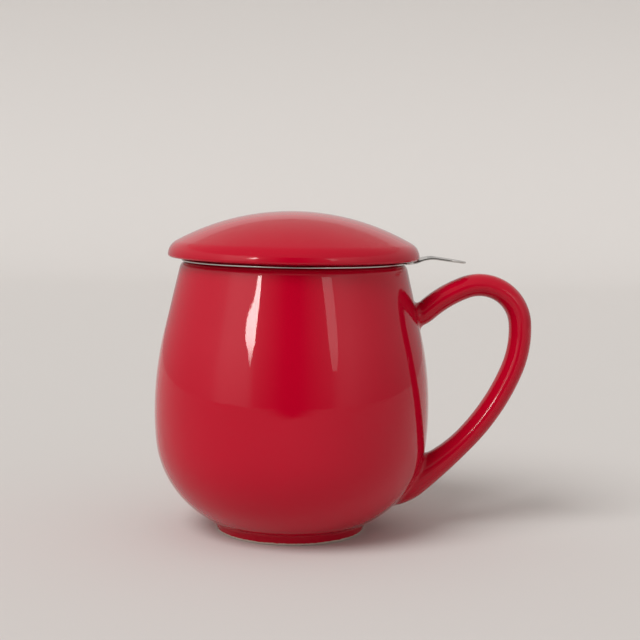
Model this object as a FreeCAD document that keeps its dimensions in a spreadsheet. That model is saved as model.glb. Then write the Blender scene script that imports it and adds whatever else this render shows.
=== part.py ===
# Round-bellied ceramic tea mug with a domed lid and a perforated steel infuser basket.
# Origin: on the mug's axis, in the plane it stands on. +Z up, +X towards the handle and the tab.
import FreeCAD, Part
import math
import os
import Sketcher

Vector = FreeCAD.Vector
Rotation = FreeCAD.Rotation
Placement = FreeCAD.Placement

doc = FreeCAD.newDocument("TeaMug")
sheet = doc.addObject("Spreadsheet::Sheet", "Sizes")

# Driving dimensions in millimetres and degrees
SIZES = {
    # cup
    "mug_height": 90.0,
    "belly_radius": 45.8,
    "belly_height": 40.6,
    "neck_height": 23.1,
    "lower_belly_arc": 105.0,
    "shoulder_arc": 33.3,
    "mouth_radius": 37.3,
    "cup_wall": 4.0,
    "lip_width": 4.1,
    "lip_round": 1.7,
    "cup_floor_height": 6.5,
    "hollow_corner": 26.0,
    "foot_radius": 24.6,
    "foot_crease_radius": 25.7,
    "foot_height": 3.4,
    "foot_ring_width": 3.4,
    "foot_recess_depth": 1.5,
    "foot_round": 0.5,
    # handle
    "handle_drop": 17.5,
    "handle_root_angle": 22.0,
    "handle_neck_run": 4.1,
    "handle_rise_angle": 42.0,
    "handle_rise_arc": 40.0,
    "handle_rise_turn": 21.0,
    "handle_crown_arc": 13.8,
    "handle_crown_turn": 106.0,
    "handle_back_arc": 34.7,
    "handle_tail_arc": 75.0,
    "handle_foot_height": 17.4,
    "handle_thickness": 7.5,
    "handle_extra_width": 3.2,
    "handle_root_thickness": 9.4,
    "handle_foot_thickness": 16.0,
    "handle_flare_run": 30.0,
    "handle_root_depth": 6.0,
    "handle_foot_depth": 8.0,
    "handle_foot_angle": 184.0,
    # lid
    "lid_overhang": 4.4,
    "lid_rise": 16.2,
    "lid_edge_height": 1.5,
    "lid_edge_arc": 5.2,
    "lid_edge_gap": 1.1,
    "lid_brim_rise_run": 4.0,
    "lid_wall": 4.0,
    "lid_seat_inset": 1.2,
    "lid_ring_depth": 6.0,
    "lid_ring_width": 3.2,
    "lid_ring_clearance": 0.6,
    "lid_ring_round": 1.2,
    # infuser
    "rim_sheet": 0.6,
    "flange_inset": 0.1,
    "skirt_depth": 3.5,
    "basket_clearance": 1.9,
    "collar_sheet": 0.5,
    "collar_depth": 14.0,
    "wall_sheet": 0.4,
    "wall_overlap": 4.0,
    "basket_depth": 62.8,
    "base_edge_height": 4.0,
    "base_bend": 1.2,
    "hoop_sheet": 0.5,
    "hoop_height": 5.0,
    "hoop_lip": 2.5,
    "lap_width": 6.0,
    "lap_azimuth": 200.0,
    "slot_width": 1.6,
    "slot_length": 7.4,
    "slot_reach": 1.0,
    "slot_columns": 16,
    "slot_row_step": 9.6,
    "slot_rows": 4,
    "base_ring_step": 7.6,
    "base_rings": 3,
    "base_ring_slots": 7,
    "base_slot_length": 4.8,
    # lifting tab
    "tab_width": 12.5,
    "tab_overlap": 3.4,
    "tab_flat_run": 0.8,
    "tab_bend_arc": 8.0,
    "tab_crest_arc": 10.7,
    "tab_rise_angle": 24.6,
    "tab_fall_angle": 7.5,
    "tab_tip_run": 10.0,
    "tab_corner": 5.0,
    "tab_hole_radius": 1.5,
    "tab_hole_step": 4.2,
    "tab_hole_count": 3,
}
for row, (alias, number) in enumerate(SIZES.items(), start=1):
    sheet.set("A%d" % row, alias)
    sheet.set("B%d" % row, str(number))
    sheet.setAlias("B%d" % row, alias)
doc.recompute()


def value(alias):
    return float(sheet.get(alias))


# Nearness within which two places count as the same, in millimetres
TOLERANCE = 0.01
# Largest share of a face's width that a rounded edge takes
ROUND_SHARE = 0.45

# Sizes that follow from the fits between the pieces
BASKET_RADIUS = "(Sizes.mouth_radius - Sizes.lip_width - Sizes.basket_clearance)"
FLANGE_RADIUS = "(Sizes.mouth_radius - Sizes.flange_inset)"
LID_RADIUS = "(Sizes.mouth_radius + Sizes.lid_overhang)"
SEAT_RADIUS = "(%s - Sizes.lid_seat_inset)" % FLANGE_RADIUS
SEAT_HEIGHT = "(Sizes.mug_height + Sizes.rim_sheet)"
TAB_ROOT = "(%s - Sizes.tab_overlap)" % FLANGE_RADIUS
BEND_START = "(%s + Sizes.tab_flat_run)" % FLANGE_RADIUS
basket_radius = value("mouth_radius") - value("lip_width") - value("basket_clearance")
flange_radius = value("mouth_radius") - value("flange_inset")
lid_radius = value("mouth_radius") + value("lid_overhang")
seat_radius = flange_radius - value("lid_seat_inset")
seat_height = value("mug_height") + value("rim_sheet")


# Helpers for bodies and sketches

def new_body(label):
    body = doc.addObject("PartDesign::Body", label)
    body.Label = label
    return body


def sketch_on(body, role, name, offset=None):
    plane = next(item for item in body.Origin.OriginFeatures if item.Role == role)
    sketch = body.newObject("Sketcher::SketchObject", name)
    sketch.AttachmentSupport = [(plane, "")]
    sketch.MapMode = "FlatFace"
    if offset is not None:
        sketch.AttachmentOffset = offset
    return sketch


def line(start, end):
    return Part.LineSegment(Vector(start[0], start[1], 0), Vector(end[0], end[1], 0))


def arc(centre, start, end):
    """Counter-clockwise arc about a centre from one point to another."""
    radius = math.dist(centre, start)
    circle = Part.Circle(Vector(centre[0], centre[1], 0), Vector(0, 0, 1), radius)
    first = math.atan2(start[1] - centre[1], start[0] - centre[0])
    last = math.atan2(end[1] - centre[1], end[0] - centre[0])
    if last <= first:
        last += 2 * math.pi
    return Part.ArcOfCircle(circle, first, last)


def draw(sketch, pieces, smooth=()):
    """Add a closed run of pieces; the joints named in smooth are tangent, the others only meet."""
    names = list(pieces)
    index = {name: sketch.addGeometry(piece) for name, piece in pieces.items()}
    for place, name in enumerate(names):
        after = names[(place + 1) % len(names)]
        near = [(pieces[name].StartPoint, 1), (pieces[name].EndPoint, 2)]
        far = [(pieces[after].StartPoint, 1), (pieces[after].EndPoint, 2)]
        pairs = [(a.distanceToPoint(b), i, j) for a, i in near for b, j in far]
        gap, first, second = min(pairs)
        kind = "Tangent" if (name, after) in smooth else "Coincident"
        sketch.addConstraint(Sketcher.Constraint(kind, index[name], first, index[after], second))
    return index


def pin(sketch, geometry, point, x=None, y=None):
    """Hold one end or centre of a piece at distances from the sketch's origin."""
    here = sketch.getPoint(geometry, point)
    for kind, now, expression in (("DistanceX", here.x, x), ("DistanceY", here.y, y)):
        if expression is not None:
            constraint = Sketcher.Constraint(kind, -1, 1, geometry, point, now)
            number = sketch.addConstraint(constraint)
            sketch.setExpression("Constraints[%d]" % number, expression)


def bind_radius(sketch, geometry, expression):
    now = sketch.Geometry[geometry].Radius
    number = sketch.addConstraint(Sketcher.Constraint("Radius", geometry, now))
    sketch.setExpression("Constraints[%d]" % number, expression)


def level(sketch, *geometry):
    for item in geometry:
        sketch.addConstraint(Sketcher.Constraint("Horizontal", item))


def upright(sketch, *geometry):
    for item in geometry:
        sketch.addConstraint(Sketcher.Constraint("Vertical", item))


def at_origin(sketch, geometry, point):
    sketch.addConstraint(Sketcher.Constraint("Coincident", geometry, point, -1, 1))


def turned(body, kind, sketch, name, angle="360"):
    """Revolution or Groove of a half section about the upright axis."""
    feature = body.newObject("PartDesign::" + kind, name)
    feature.Profile = sketch
    feature.ReferenceAxis = (sketch, ["V_Axis"])
    feature.setExpression("Angle", angle)
    doc.recompute()
    return feature


def ring_edges(feature, radius, height):
    """Names of the circular edges about the upright axis at a radius and height."""
    names = []
    for number, edge in enumerate(feature.Shape.Edges, start=1):
        if edge.Degenerated or not isinstance(edge.Curve, Part.Circle):
            continue
        circle = edge.Curve
        same_radius = abs(circle.Radius - radius) < TOLERANCE
        same_height = abs(circle.Center.z - height) < TOLERANCE
        if same_radius and same_height and math.hypot(circle.Center.x, circle.Center.y) < TOLERANCE:
            names.append("Edge%d" % number)
    return names


def round_edges(body, name, feature, edges, radius):
    fillet = body.newObject("PartDesign::Fillet", name)
    fillet.Base = (feature, edges)
    fillet.setExpression("Radius", radius)
    doc.recompute()
    return fillet


def round_within(radius, width):
    """Expression for a named edge radius, kept below a share of a named width."""
    return "min(Sizes.%s; %g * Sizes.%s)" % (radius, ROUND_SHARE, width)


def rectangle(sketch, left, right, low, high):
    """Upright rectangle whose four sides lie at expressions from the origin."""
    corner = [(1, 1), (2, 1), (2, 2), (1, 2)]
    pieces = {}
    for number in range(4):
        pieces["side%d" % number] = line(corner[number], corner[(number + 1) % 4])
    index = draw(sketch, pieces)
    bottom, outer, top, inner = index.values()
    level(sketch, bottom, top)
    upright(sketch, outer, inner)
    pin(sketch, bottom, 1, x=left, y=low)
    pin(sketch, top, 1, x=right, y=high)


# The cup's outline: two belly arcs with their centres level with the widest point,
# a tighter shoulder arc down to the foot, and a straight neck up to the mouth

def meet_circles(centre_a, radius_a, centre_b, radius_b, side):
    """One of the two points at given distances from two centres."""
    gap = math.dist(centre_a, centre_b)
    along = (gap ** 2 + radius_a ** 2 - radius_b ** 2) / (2 * gap)
    across = side * math.sqrt(radius_a ** 2 - along ** 2)
    ux = (centre_b[0] - centre_a[0]) / gap
    uy = (centre_b[1] - centre_a[1]) / gap
    return (centre_a[0] + along * ux - across * uy, centre_a[1] + along * uy + across * ux)


def neck_touch(belly_point, mouth_point):
    """Centre of the upper belly arc, and where the straight neck of the named height touches it."""
    inward = belly_point[0] - mouth_point[0]
    neck = value("neck_height")
    curved = mouth_point[1] - neck - belly_point[1]
    low, high = 0.0, math.pi / 4
    for halving in range(60):
        lean = (low + high) / 2
        if curved * math.tan(lean / 2) + neck * math.tan(lean) < inward:
            low = lean
        else:
            high = lean
    start = (mouth_point[0] + neck * math.tan(lean), mouth_point[1] - neck)
    return (belly_point[0] - curved / math.sin(lean), belly_point[1]), start


def along_ray(centre, through, distance):
    gap = math.dist(centre, through)
    return (centre[0] + (through[0] - centre[0]) * distance / gap,
            centre[1] + (through[1] - centre[1]) * distance / gap)


def height_on_circle(centre, radius, reach):
    """Upper height of a circle at a distance from the upright axis."""
    return centre[1] + math.sqrt(radius ** 2 - (reach - centre[0]) ** 2)


lower_centre = (value("belly_radius") - value("lower_belly_arc"), value("belly_height"))
crease = (value("foot_crease_radius"), value("foot_height"))
shoulder_centre = meet_circles(
    lower_centre, value("lower_belly_arc") - value("shoulder_arc"), crease, value("shoulder_arc"), 1)
shoulder_top = along_ray(lower_centre, shoulder_centre, value("lower_belly_arc"))
belly = (value("belly_radius"), value("belly_height"))
mouth = (value("mouth_radius"), value("mug_height"))
upper_centre, neck_start = neck_touch(belly, mouth)


def outer_radius(height):
    """Radius of the cup's outer surface at a height above the table."""
    if height > neck_start[1]:
        share = (height - neck_start[1]) / (mouth[1] - neck_start[1])
        return neck_start[0] + share * (mouth[0] - neck_start[0])
    if height > belly[1]:
        centre, radius = upper_centre, belly[0] - upper_centre[0]
    elif height > shoulder_top[1]:
        centre, radius = lower_centre, value("lower_belly_arc")
    else:
        centre, radius = shoulder_centre, value("shoulder_arc")
    return centre[0] + math.sqrt(radius ** 2 - (height - centre[1]) ** 2)


def cup_outline(body, name):
    sketch = sketch_on(body, "XZ_Plane", name)
    foot = (value("foot_radius"), 0)
    top = (0, mouth[1])
    index = draw(sketch, {
        "foot_face": line((0, 0), foot),
        "foot_wall": line(foot, crease),
        "shoulder": arc(shoulder_centre, crease, shoulder_top),
        "lower_belly": arc(lower_centre, shoulder_top, belly),
        "upper_belly": arc(upper_centre, belly, neck_start),
        "neck": line(neck_start, mouth),
        "lip_face": line(mouth, top),
        "axis": line(top, (0, 0)),
    }, smooth=(("shoulder", "lower_belly"), ("upper_belly", "neck")))
    level(sketch, index["foot_face"], index["lip_face"])
    upright(sketch, index["axis"])
    at_origin(sketch, index["foot_face"], 1)
    pin(sketch, index["foot_face"], 2, x="Sizes.foot_radius")
    pin(sketch, index["foot_wall"], 2, x="Sizes.foot_crease_radius", y="Sizes.foot_height")
    bind_radius(sketch, index["shoulder"], "Sizes.shoulder_arc")
    bind_radius(sketch, index["lower_belly"], "Sizes.lower_belly_arc")
    pin(sketch, index["upper_belly"], 1, x="Sizes.belly_radius", y="Sizes.belly_height")
    pin(sketch, index["lower_belly"], 3, y="Sizes.belly_height")
    pin(sketch, index["upper_belly"], 3, y="Sizes.belly_height")
    pin(sketch, index["neck"], 1, y="Sizes.mug_height - Sizes.neck_height")
    pin(sketch, index["neck"], 2, x="Sizes.mouth_radius", y="Sizes.mug_height")
    return sketch


# Cup: turned shell with a hollow, a recessed foot and a rounded lip

cup = new_body("mug_body")
cup_form = turned(cup, "Revolution", cup_outline(cup, "CupOutline"), "CupForm")

wall = value("cup_wall")
corner = value("hollow_corner")
inner_lower = value("lower_belly_arc") - wall
corner_height = value("cup_floor_height") + corner
corner_reach = math.sqrt((inner_lower - corner) ** 2 - (corner_height - belly[1]) ** 2)
corner_centre = (lower_centre[0] + corner_reach, corner_height)
corner_top = along_ray(lower_centre, corner_centre, inner_lower)
inner_belly = (belly[0] - wall, belly[1])
inner_mouth = (mouth[0] - value("lip_width"), mouth[1])
inner_centre, inner_neck = neck_touch(inner_belly, inner_mouth)
floor_centre = (0, value("cup_floor_height"))
floor_edge = (corner_centre[0], value("cup_floor_height"))

hollow_sketch = sketch_on(cup, "XZ_Plane", "HollowOutline")
hollow = draw(hollow_sketch, {
    "floor": line(floor_centre, floor_edge),
    "corner": arc(corner_centre, floor_edge, corner_top),
    "lower_belly": arc(lower_centre, corner_top, inner_belly),
    "upper_belly": arc(inner_centre, inner_belly, inner_neck),
    "neck": line(inner_neck, inner_mouth),
    "mouth": line(inner_mouth, (0, mouth[1])),
    "axis": line((0, mouth[1]), floor_centre),
}, smooth=(("floor", "corner"), ("corner", "lower_belly"), ("upper_belly", "neck")))
level(hollow_sketch, hollow["floor"], hollow["mouth"])
upright(hollow_sketch, hollow["axis"])
pin(hollow_sketch, hollow["floor"], 1, x="0", y="Sizes.cup_floor_height")
bind_radius(hollow_sketch, hollow["corner"], "Sizes.hollow_corner")
bind_radius(hollow_sketch, hollow["lower_belly"], "Sizes.lower_belly_arc - Sizes.cup_wall")
pin(hollow_sketch, hollow["upper_belly"], 1,
    x="Sizes.belly_radius - Sizes.cup_wall", y="Sizes.belly_height")
pin(hollow_sketch, hollow["lower_belly"], 3, y="Sizes.belly_height")
pin(hollow_sketch, hollow["upper_belly"], 3, y="Sizes.belly_height")
pin(hollow_sketch, hollow["neck"], 1, y="Sizes.mug_height - Sizes.neck_height")
pin(hollow_sketch, hollow["neck"], 2,
    x="Sizes.mouth_radius - Sizes.lip_width", y="Sizes.mug_height")
cup_hollow = turned(cup, "Groove", hollow_sketch, "CupHollow")

recess_sketch = sketch_on(cup, "XZ_Plane", "FootRecessOutline")
rectangle(recess_sketch, "0", "Sizes.foot_radius - Sizes.foot_ring_width",
          "0", "Sizes.foot_recess_depth")
foot_recess = turned(cup, "Groove", recess_sketch, "FootRecess")

lip_edges = ring_edges(foot_recess, mouth[0], mouth[1])
lip_edges += ring_edges(foot_recess, inner_mouth[0], mouth[1])
lip = round_edges(cup, "LipRound", foot_recess, lip_edges,
                  round_within("lip_round", "lip_width"))
foot_edges = ring_edges(lip, value("foot_radius"), 0)
foot_edges += ring_edges(lip, value("foot_radius") - value("foot_ring_width"), 0)
round_edges(cup, "FootRound", lip, foot_edges, "Sizes.foot_round")


# Handle: ovals strung along a half-heart line, lofted, and cut to the cup's outer surface

envelope = new_body("cup_envelope")
turned(envelope, "Revolution", cup_outline(envelope, "EnvelopeOutline"), "EnvelopeForm")


def walk(point, angle, radius, turn, steps):
    """Stations along a clockwise arc, each a place and a heading in degrees."""
    start = math.radians(angle)
    centre = (point[0] + radius * math.sin(start), point[1] - radius * math.cos(start))
    stations = []
    for step in range(1, steps + 1):
        heading = angle - turn * step / steps
        turned_by = math.radians(heading)
        place = (centre[0] - radius * math.sin(turned_by), centre[1] + radius * math.cos(turned_by))
        stations.append((place, heading))
    return stations


def move(point, angle, distance):
    heading = math.radians(angle)
    return (point[0] + distance * math.cos(heading), point[1] + distance * math.sin(heading))


def handle_line():
    """Stations of the half-heart: root, neck, rise, crown, back, tail and foot."""
    root_height = value("mug_height") - value("handle_drop")
    root = (outer_radius(root_height), root_height)
    root_angle = value("handle_root_angle")
    rise_angle = value("handle_rise_angle")
    neck = move(root, (root_angle + rise_angle) / 2, value("handle_neck_run"))
    stations = [
        (move(root, root_angle, -value("handle_root_depth")), root_angle),
        (root, (2 * root_angle + rise_angle) / 3),
        (neck, rise_angle),
    ]
    stations += walk(neck, rise_angle, value("handle_rise_arc"), value("handle_rise_turn"), steps=2)
    stations += walk(*stations[-1], value("handle_crown_arc"), value("handle_crown_turn"), steps=5)
    crown_end, heading = stations[-1]
    # the back arc turns until the tail arc, which it touches, runs through the foot
    foot_height = value("handle_foot_height")
    foot = (outer_radius(foot_height), foot_height)
    back_arc = value("handle_back_arc")
    tail_arc = value("handle_tail_arc")
    across = math.radians(heading)
    back_centre = (crown_end[0] + back_arc * math.sin(across), crown_end[1] - back_arc * math.cos(across))
    tail_centre = meet_circles(back_centre, tail_arc - back_arc, foot, tail_arc, -1)
    bend = math.degrees(math.atan2(back_centre[1] - tail_centre[1], back_centre[0] - tail_centre[0])) - 90
    arrival = math.degrees(math.atan2(foot[1] - tail_centre[1], foot[0] - tail_centre[0])) - 90
    stations += walk(crown_end, heading, back_arc, heading - bend, steps=2)
    stations += walk(*stations[-1], tail_arc, bend - arrival, steps=5)
    foot_angle = -value("handle_foot_angle")
    half_depth = value("handle_foot_depth") / 2
    middle = move(foot, (arrival + foot_angle) / 2, half_depth)
    stations.append((middle, (arrival + foot_angle) / 2))
    stations.append((move(middle, foot_angle, half_depth), foot_angle))
    return stations


def section_thickness(stations, place):
    """Named thickness of the oval at a station, as an expression on the sheet."""
    if place == 0:
        return "Sizes.handle_root_thickness"
    run = math.dist(stations[place][0], stations[-1][0])
    share = max(0.0, 1 - run / value("handle_flare_run")) ** 2
    return ("Sizes.handle_thickness + %.6f * (Sizes.handle_foot_thickness - Sizes.handle_thickness)"
            % share)


stations = handle_line()
ovals = []
for place, (point, heading) in enumerate(stations):
    thickness = section_thickness(stations, place)
    tilt = math.radians(heading)
    oval = doc.addObject("Part::Ellipse", "HandleOval%02d" % place)
    oval.setExpression("MajorRadius", "(%s + Sizes.handle_extra_width) / 2" % thickness)
    oval.setExpression("MinorRadius", "(%s) / 2" % thickness)
    turn = Rotation(Vector(0, 1, 0), Vector(-math.sin(tilt), 0, math.cos(tilt)),
                    Vector(math.cos(tilt), 0, math.sin(tilt)), "XYZ")
    oval.Placement = Placement(Vector(point[0], 0, point[1]), turn)
    ovals.append(oval)
handle_form = doc.addObject("Part::Loft", "HandleForm")
handle_form.Sections = ovals
handle_form.Solid = True
handle = doc.addObject("Part::Cut", "mug_handle")
handle.Label = "mug_handle"
handle.Base = handle_form
handle.Tool = envelope
doc.recompute()


# Lid: shallow dome with a rounded edge, a seat that lies on the flange,
# and a ring underneath that drops into the basket's collar

apex = seat_height + value("lid_rise")
edge_arc = value("lid_edge_arc")
edge_centre = (lid_radius - edge_arc, seat_height + value("lid_edge_height"))
fall_to_edge = apex - edge_centre[1]
crown_arc = ((edge_centre[0] ** 2 + fall_to_edge ** 2 - edge_arc ** 2)
             / (2 * (fall_to_edge - edge_arc)))
crown_centre = (0, apex - crown_arc)
edge_top = along_ray(crown_centre, edge_centre, crown_arc)
edge_side = (lid_radius, edge_centre[1])
brim_height = seat_height + value("lid_edge_gap")
brim_start = (seat_radius + value("lid_brim_rise_run"), brim_height)
nose_centre = (lid_radius - (edge_centre[1] - brim_height), edge_centre[1])
brim_edge = (nose_centre[0], brim_height)
seat_edge = (seat_radius, seat_height)
ring_outer = basket_radius - value("collar_sheet") - value("lid_ring_clearance")
ring_inner = ring_outer - value("lid_ring_width")
ring_low = seat_height - value("lid_ring_depth")
ceiling_arc = crown_arc - value("lid_wall")
ceiling_edge = (ring_inner, height_on_circle(crown_centre, ceiling_arc, ring_inner))
ceiling_top = (0, apex - value("lid_wall"))

RING_OUTER = BASKET_RADIUS + " - Sizes.collar_sheet - Sizes.lid_ring_clearance"

lid = new_body("lid")
lid_sketch = sketch_on(lid, "XZ_Plane", "LidOutline")
lid_index = draw(lid_sketch, {
    "crown": arc(crown_centre, edge_top, (0, apex)),
    "edge": arc(edge_centre, edge_side, edge_top),
    "nose": arc(nose_centre, brim_edge, edge_side),
    "brim": line(brim_edge, brim_start),
    "brim_rise": line(brim_start, seat_edge),
    "seat": line(seat_edge, (ring_outer, seat_height)),
    "ring_outside": line((ring_outer, seat_height), (ring_outer, ring_low)),
    "ring_foot": line((ring_outer, ring_low), (ring_inner, ring_low)),
    "ring_inside": line((ring_inner, ring_low), ceiling_edge),
    "ceiling": arc(crown_centre, ceiling_edge, ceiling_top),
    "axis": line(ceiling_top, (0, apex)),
}, smooth=(("crown", "edge"), ("edge", "nose"), ("nose", "brim")))
level(lid_sketch, lid_index["brim"], lid_index["seat"], lid_index["ring_foot"])
upright(lid_sketch, lid_index["ring_outside"], lid_index["ring_inside"])
pin(lid_sketch, lid_index["crown"], 2, x="0", y=SEAT_HEIGHT + " + Sizes.lid_rise")
pin(lid_sketch, lid_index["crown"], 3, x="0")
bind_radius(lid_sketch, lid_index["edge"], "Sizes.lid_edge_arc")
pin(lid_sketch, lid_index["edge"], 3, x=LID_RADIUS + " - Sizes.lid_edge_arc",
    y=SEAT_HEIGHT + " + Sizes.lid_edge_height")
lid_sketch.addConstraint(Sketcher.Constraint(
    "Horizontal", lid_index["edge"], 3, lid_index["edge"], 1))
pin(lid_sketch, lid_index["brim"], 2, x=SEAT_RADIUS + " + Sizes.lid_brim_rise_run",
    y=SEAT_HEIGHT + " + Sizes.lid_edge_gap")
pin(lid_sketch, lid_index["seat"], 1, x=SEAT_RADIUS, y=SEAT_HEIGHT)
pin(lid_sketch, lid_index["seat"], 2, x=RING_OUTER)
pin(lid_sketch, lid_index["ring_foot"], 2, x=RING_OUTER + " - Sizes.lid_ring_width",
    y=SEAT_HEIGHT + " - Sizes.lid_ring_depth")
lid_sketch.addConstraint(Sketcher.Constraint(
    "Coincident", lid_index["ceiling"], 3, lid_index["crown"], 3))
pin(lid_sketch, lid_index["ceiling"], 2, x="0", y=SEAT_HEIGHT + " + Sizes.lid_rise - Sizes.lid_wall")
lid_form = turned(lid, "Revolution", lid_sketch, "LidForm")
ring_foot_edges = ring_edges(lid_form, ring_outer, ring_low)
ring_foot_edges += ring_edges(lid_form, ring_inner, ring_low)
round_edges(lid, "LidRingRound", lid_form, ring_foot_edges,
            round_within("lid_ring_round", "lid_ring_width"))


# Infuser rim: flange with a turned-down skirt and an arched lifting tab

rim = new_body("infuser_rim")
flange_sketch = sketch_on(rim, "XZ_Plane", "FlangeOutline")
rectangle(flange_sketch, BASKET_RADIUS, FLANGE_RADIUS, "Sizes.mug_height", SEAT_HEIGHT)
turned(rim, "Revolution", flange_sketch, "Flange")
skirt_sketch = sketch_on(rim, "XZ_Plane", "SkirtOutline")
rectangle(skirt_sketch, BASKET_RADIUS, BASKET_RADIUS + " + Sizes.rim_sheet",
          SEAT_HEIGHT + " - Sizes.skirt_depth", SEAT_HEIGHT)
skirt = turned(rim, "Revolution", skirt_sketch, "Skirt")

spine_height = value("mug_height") + value("rim_sheet") / 2
rise = math.radians(value("tab_rise_angle"))
fall = math.radians(value("tab_fall_angle"))
bend_start = (flange_radius + value("tab_flat_run"), spine_height)
bend_centre = (bend_start[0], spine_height + value("tab_bend_arc"))
bend_end = (bend_centre[0] + value("tab_bend_arc") * math.sin(rise),
            bend_centre[1] - value("tab_bend_arc") * math.cos(rise))
crest_centre = (bend_end[0] + value("tab_crest_arc") * math.sin(rise),
                bend_end[1] - value("tab_crest_arc") * math.cos(rise))
crest_end = (crest_centre[0] + value("tab_crest_arc") * math.sin(fall),
             crest_centre[1] + value("tab_crest_arc") * math.cos(fall))
tab_root = flange_radius - value("tab_overlap")
tab_tip = move(crest_end, -value("tab_fall_angle"), value("tab_tip_run"))
SPINE_HEIGHT = "Sizes.mug_height + Sizes.rim_sheet / 2"

tab_line = sketch_on(rim, "XZ_Plane", "TabLine")
root_run = tab_line.addGeometry(line((tab_root, spine_height), bend_start))
bend = tab_line.addGeometry(arc(bend_centre, bend_start, bend_end))
crest = tab_line.addGeometry(arc(crest_centre, crest_end, bend_end))
tip_run = tab_line.addGeometry(line(crest_end, tab_tip))
tab_line.addConstraint(Sketcher.Constraint("Tangent", root_run, 2, bend, 1))
tab_line.addConstraint(Sketcher.Constraint("Tangent", bend, 2, crest, 2))
tab_line.addConstraint(Sketcher.Constraint("Tangent", crest, 1, tip_run, 1))
level(tab_line, root_run)
pin(tab_line, root_run, 1, x=TAB_ROOT, y=SPINE_HEIGHT)
pin(tab_line, root_run, 2, x=BEND_START)
bind_radius(tab_line, bend, "Sizes.tab_bend_arc")
bind_radius(tab_line, crest, "Sizes.tab_crest_arc")
pin(tab_line, bend, 2, x=BEND_START + " + Sizes.tab_bend_arc * sin(Sizes.tab_rise_angle * 1 deg)")
pin(tab_line, crest, 1, x=BEND_START + " + (Sizes.tab_bend_arc + Sizes.tab_crest_arc)"
    " * sin(Sizes.tab_rise_angle * 1 deg) + Sizes.tab_crest_arc * sin(Sizes.tab_fall_angle * 1 deg)")
length = tab_line.addConstraint(Sketcher.Constraint("Distance", tip_run, value("tab_tip_run")))
tab_line.setExpression("Constraints[%d]" % length, "Sizes.tab_tip_run")

tab_section = sketch_on(rim, "YZ_Plane", "TabSection", Placement(Vector(0, 0, tab_root), Rotation()))
tab_section.setExpression("AttachmentOffset.Base.z", TAB_ROOT)
rectangle(tab_section, "-Sizes.tab_width / 2", "Sizes.tab_width / 2", "Sizes.mug_height", SEAT_HEIGHT)
tab = rim.newObject("PartDesign::AdditivePipe", "Tab")
tab.Profile = tab_section
tab.Spine = (tab_line, [])
doc.recompute()

tip_edges = []
for number, edge in enumerate(tab.Shape.Edges, start=1):
    middle = edge.CenterOfMass
    at_tip = middle.x > (crest_end[0] + tab_tip[0]) / 2
    at_side = abs(abs(middle.y) - value("tab_width") / 2) < TOLERANCE
    if at_tip and at_side and edge.Length < 2 * value("rim_sheet"):
        tip_edges.append("Edge%d" % number)
round_edges(rim, "TabRound", tab, tip_edges, round_within("tab_corner", "tab_width"))

tab_hole_sketch = sketch_on(rim, "XY_Plane", "TabHoleOutline")
hole = tab_hole_sketch.addGeometry(Part.Circle(
    Vector(crest_centre[0], 0, 0), Vector(0, 0, 1), value("tab_hole_radius")))
pin(tab_hole_sketch, hole, 3, x=BEND_START + " + (Sizes.tab_bend_arc + Sizes.tab_crest_arc)"
    " * sin(Sizes.tab_rise_angle * 1 deg)", y="0")
bind_radius(tab_hole_sketch, hole, "Sizes.tab_hole_radius")
tab_hole = rim.newObject("PartDesign::Pocket", "TabHole")
tab_hole.Profile = tab_hole_sketch
tab_hole.Type = "ThroughAll"
tab_hole.Midplane = True
doc.recompute()
tab_holes = rim.newObject("PartDesign::LinearPattern", "TabHoles")
tab_holes.Originals = [tab_hole]
tab_holes.Direction = (tab_hole_sketch, ["H_Axis"])
tab_holes.setExpression("Length", "Sizes.tab_hole_step * (Sizes.tab_hole_count - 1)")
tab_holes.setExpression("Occurrences", "Sizes.tab_hole_count")
rim.Tip = tab_holes
doc.recompute()


# Infuser collar: plain sleeve inside the skirt

COLLAR_LOW = SEAT_HEIGHT + " - Sizes.collar_depth"
collar = new_body("infuser_collar")
collar_sketch = sketch_on(collar, "XZ_Plane", "CollarOutline")
rectangle(collar_sketch, BASKET_RADIUS + " - Sizes.collar_sheet", BASKET_RADIUS,
          COLLAR_LOW, SEAT_HEIGHT)
turned(collar, "Revolution", collar_sketch, "Sleeve")


# Infuser wall: rolled sheet with a lapped seam and staggered rows of upright slots

BASKET_LOW = SEAT_HEIGHT + " - Sizes.basket_depth"
WALL_OUTER = BASKET_RADIUS + " - Sizes.collar_sheet"
basket_low = seat_height - value("basket_depth")
wall_outer = basket_radius - value("collar_sheet")
wall_body = new_body("infuser_wall")
wall_sketch = sketch_on(wall_body, "XZ_Plane", "WallOutline")
rectangle(wall_sketch, WALL_OUTER + " - Sizes.wall_sheet", WALL_OUTER,
          BASKET_LOW + " + Sizes.hoop_sheet", COLLAR_LOW + " + Sizes.wall_overlap")
turned(wall_body, "Revolution", wall_sketch, "RolledSheet")

half_lap = math.degrees(value("lap_width") / wall_outer) / 2
lap_sketch = sketch_on(wall_body, "XZ_Plane", "LapOutline", Placement(
    Vector(0, 0, 0), Rotation(Vector(0, 1, 0), value("lap_azimuth") - half_lap)))
rectangle(lap_sketch, WALL_OUTER + " - Sizes.wall_sheet / 2", WALL_OUTER + " + Sizes.wall_sheet",
          BASKET_LOW + " + Sizes.hoop_height", COLLAR_LOW)
turned(wall_body, "Revolution", lap_sketch, "Lap",
       "Sizes.lap_width / (%s) * 180 / pi" % WALL_OUTER)

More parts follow.
